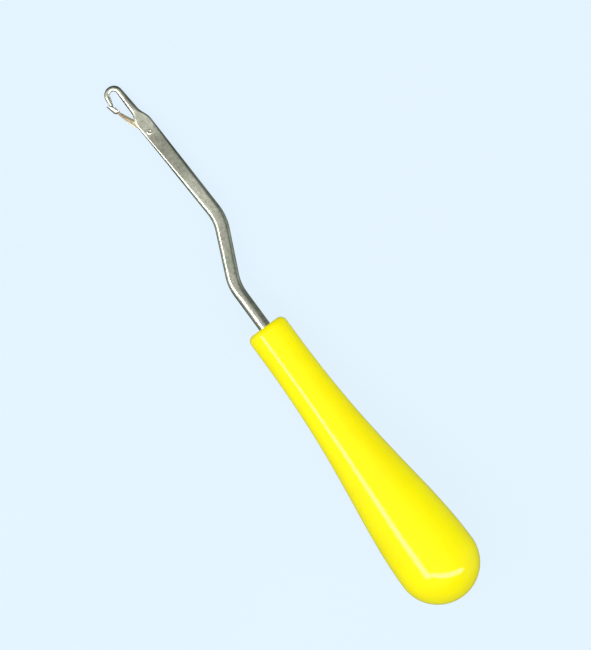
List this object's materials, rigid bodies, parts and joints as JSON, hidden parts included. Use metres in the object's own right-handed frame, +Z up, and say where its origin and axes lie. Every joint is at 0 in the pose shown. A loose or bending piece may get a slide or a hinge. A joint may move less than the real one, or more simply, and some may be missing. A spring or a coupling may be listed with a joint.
{
  "type": "latch hook tool",
  "caption": "Rug-making latch hook: round flared plastic handle on a cranked flat steel shank, with a small hook closed by a swinging latch.",
  "frame": {"origin": "on the surface that the belly of the handle touches, under the middle of the tool's length and under the handle's axis", "axes": "+X along the handle's axis towards the hook, +Y to the side on which the hook is open and the latch swings, +Z up, square to the plane of the crank"},
  "size_m": [0.165, 0.0226, 0.0226],
  "materials": {
    "handle_plastic": "glossy moulded lemon yellow plastic",
    "shank_steel": "nickel plated pressed wire, slightly mottled",
    "latch_steel": "pressed strip with a warm tan cast",
    "rivet_steel": "bright staked pin"
  },
  "bodies": {
    "tool": {"handle": "handle_plastic", "shank": "shank_steel", "hook": "shank_steel", "latch_rivet": "rivet_steel"},
    "latch": {"latch": "latch_steel"}
  },
  "joints": [
    {"name": "latch_hinge", "type": "hinge", "parent": "tool", "child": "latch", "pos_m": [0.06646, -0.00605, 0.0113], "axis": [0, 0, 1], "range_deg": [0, 145]}
  ]
}
